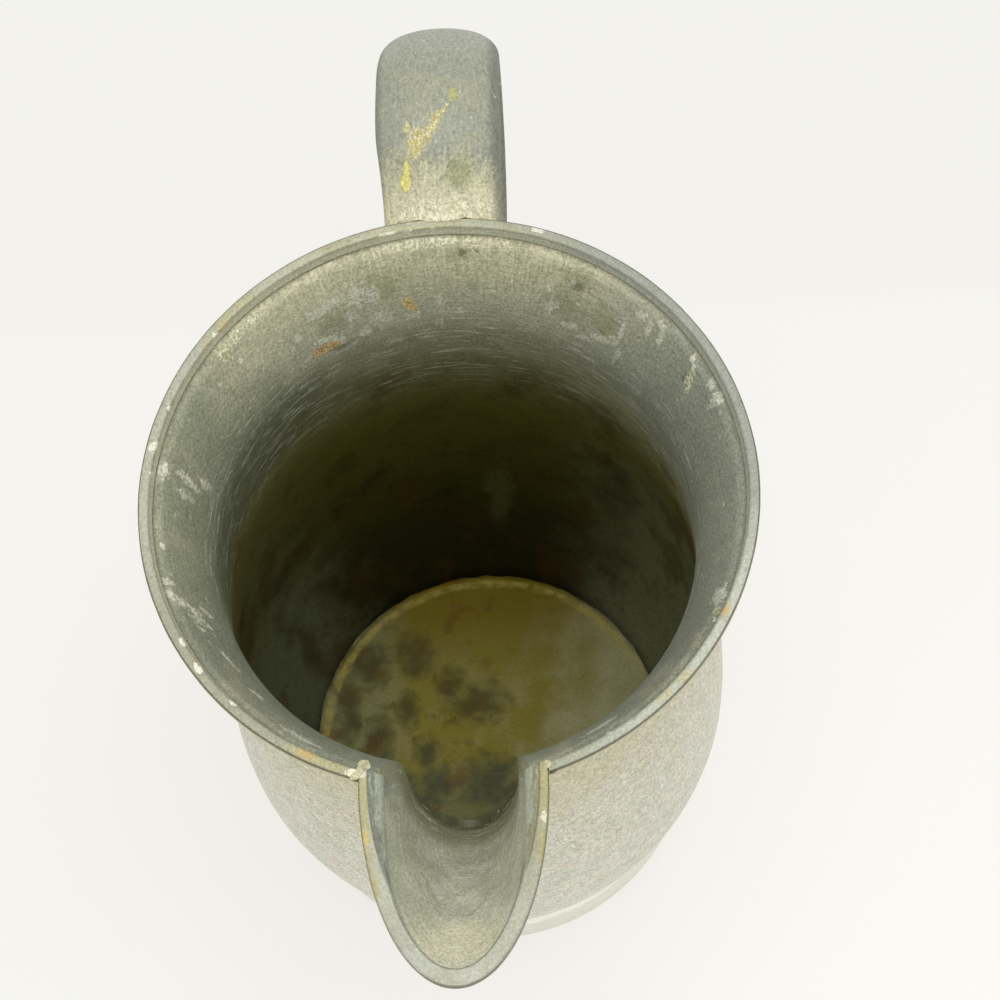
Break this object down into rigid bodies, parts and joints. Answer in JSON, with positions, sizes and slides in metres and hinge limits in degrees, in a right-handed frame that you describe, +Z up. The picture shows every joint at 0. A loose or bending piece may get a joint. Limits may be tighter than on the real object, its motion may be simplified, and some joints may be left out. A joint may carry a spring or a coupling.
{
  "type": "pitcher",
  "caption": "Waisted pewter pitcher with a foot ring, a flat rim band, a soldered sheet spout and a hollow strap handle.",
  "frame": {"origin": "on the body's axis, in the plane that the foot ring stands on", "axes": "+Z up along the body's axis, -Y towards the spout's tip, +Y towards the handle, +X to the right of someone who stands in front of the spout and looks at it"},
  "size_m": [0.108, 0.1875, 0.162],
  "materials": {
    "body": "aged pewter, fine brushed grain with brown and cream stains",
    "floor": "dull stained pewter, olive brown",
    "foot": "cast pewter, worn smooth",
    "bands": "smooth pewter, rubbed lighter, with cream and ochre stains",
    "spout": "scratched sheet pewter",
    "handle": "aged pewter, fine lengthwise grain with cream stains",
    "solder": "soft solder, smeared and dull"
  },
  "bodies": {
    "root": {"neck_shell": "body", "belly_shell": "body", "floor_plate": "floor", "foot_ring": "foot", "rim_band": "bands", "spout_shell": "spout", "spout_band": "bands", "spout_solder": "solder", "handle_outer": "handle", "handle_inner": "handle", "handle_top_solder": "solder", "handle_foot_solder": "solder"}
  },
  "joints": []
}
